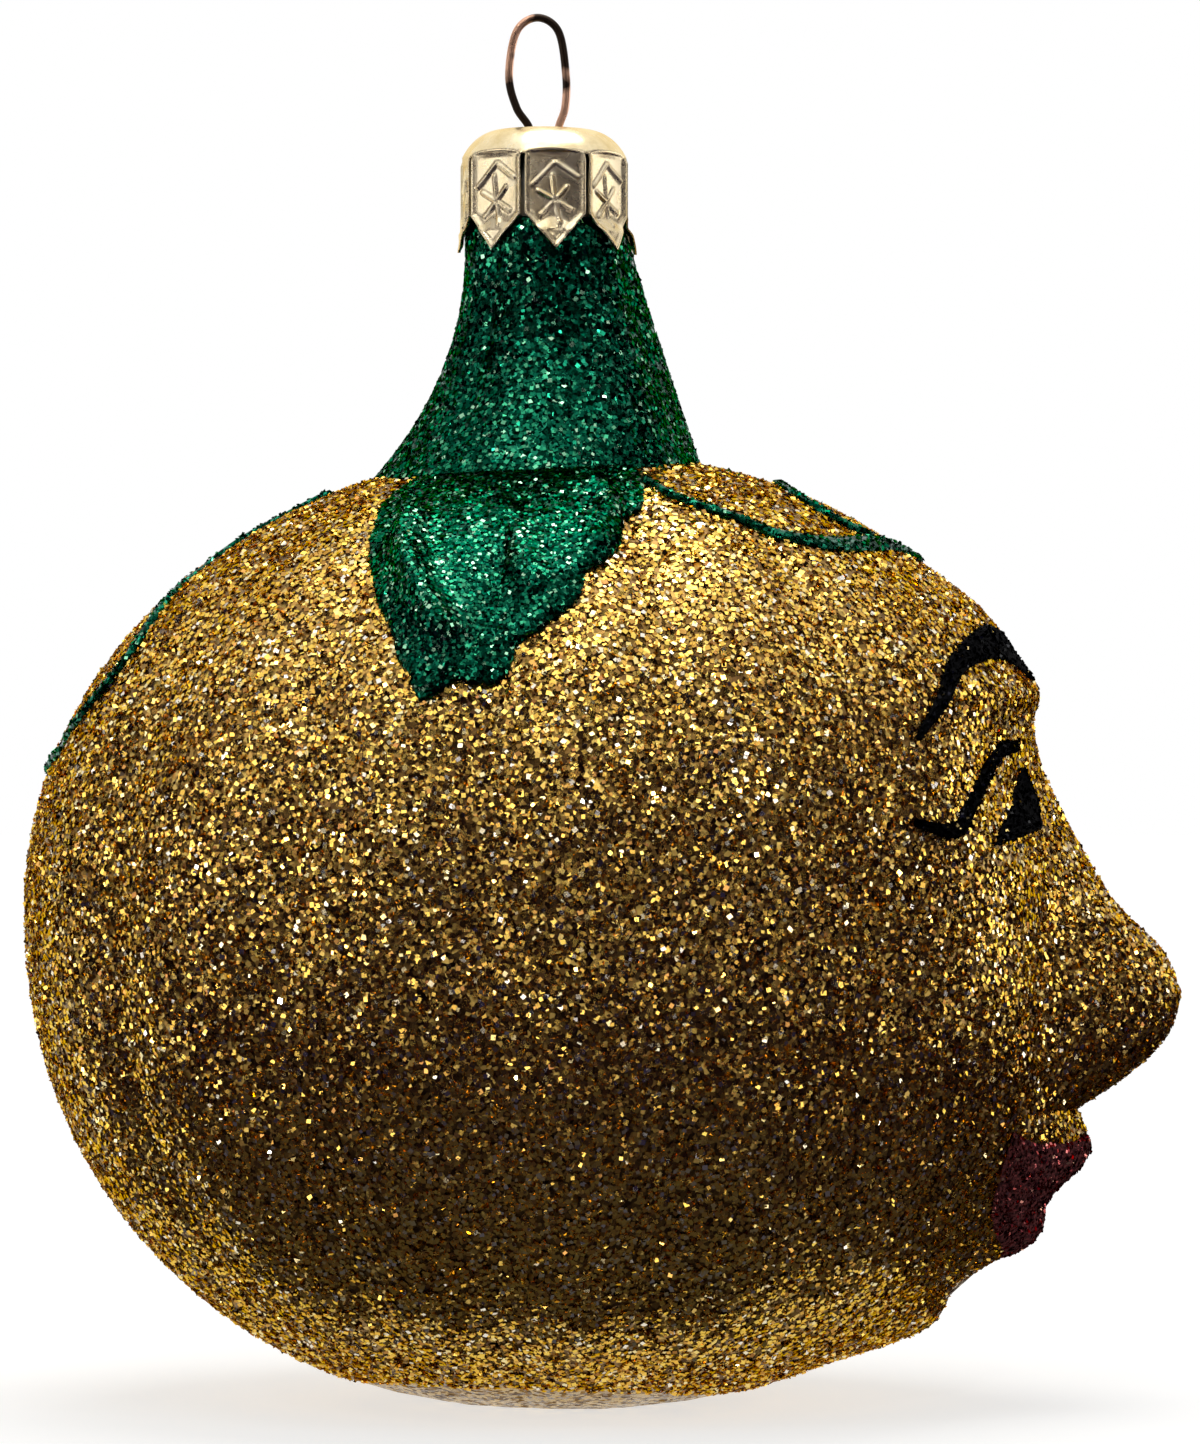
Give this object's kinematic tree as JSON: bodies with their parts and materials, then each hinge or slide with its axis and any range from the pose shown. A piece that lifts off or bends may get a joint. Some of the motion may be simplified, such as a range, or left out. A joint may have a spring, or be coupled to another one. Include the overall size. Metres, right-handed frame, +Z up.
{
  "type": "glass pumpkin ornament",
  "caption": "Hanging blown-glass pumpkin ornament with a moulded face, gold and green glitter, a stamped crown cap and a sprung wire hanger.",
  "frame": {"origin": "on the neck axis, in the flat underside of the pumpkin", "axes": "+Z up along the neck axis, towards the hanger; +X the way the face looks"},
  "size_m": [0.1154, 0.0856, 0.1388],
  "materials": {
    "silvered_glass": "polished",
    "gold_glitter": "glitter",
    "green_glitter": "glitter",
    "black_paint": "satin",
    "red_paint": "satin",
    "cap_metal": "stamped",
    "hanger_wire": "satin"
  },
  "bodies": {
    "ornament": {"glass_shell": "silvered_glass", "gold_coat": "gold_glitter", "stem_coat": "green_glitter", "leaf_right": "green_glitter", "leaf_left": "green_glitter", "tendril_front_right": "green_glitter", "tendril_front_left": "green_glitter", "tendril_loop": "green_glitter", "tendril_back": "green_glitter", "brow_right": "black_paint", "brow_left": "black_paint", "lid_line_right": "black_paint", "lid_line_left": "black_paint", "eye_right": "black_paint", "eye_left": "black_paint", "lips": "red_paint"},
    "cap": {"crown_cap": "cap_metal"},
    "hanger": {"wire_hanger": "hanger_wire"}
  },
  "joints": [
    {"name": "cap_lift", "type": "slide", "parent": "ornament", "child": "cap", "axis": [0, 0, 1], "range_m": [0, 0.04]},
    {"name": "hanger_pull", "type": "slide", "parent": "cap", "child": "hanger", "axis": [0, 0, 1], "range_m": [0, 0.004]}
  ]
}
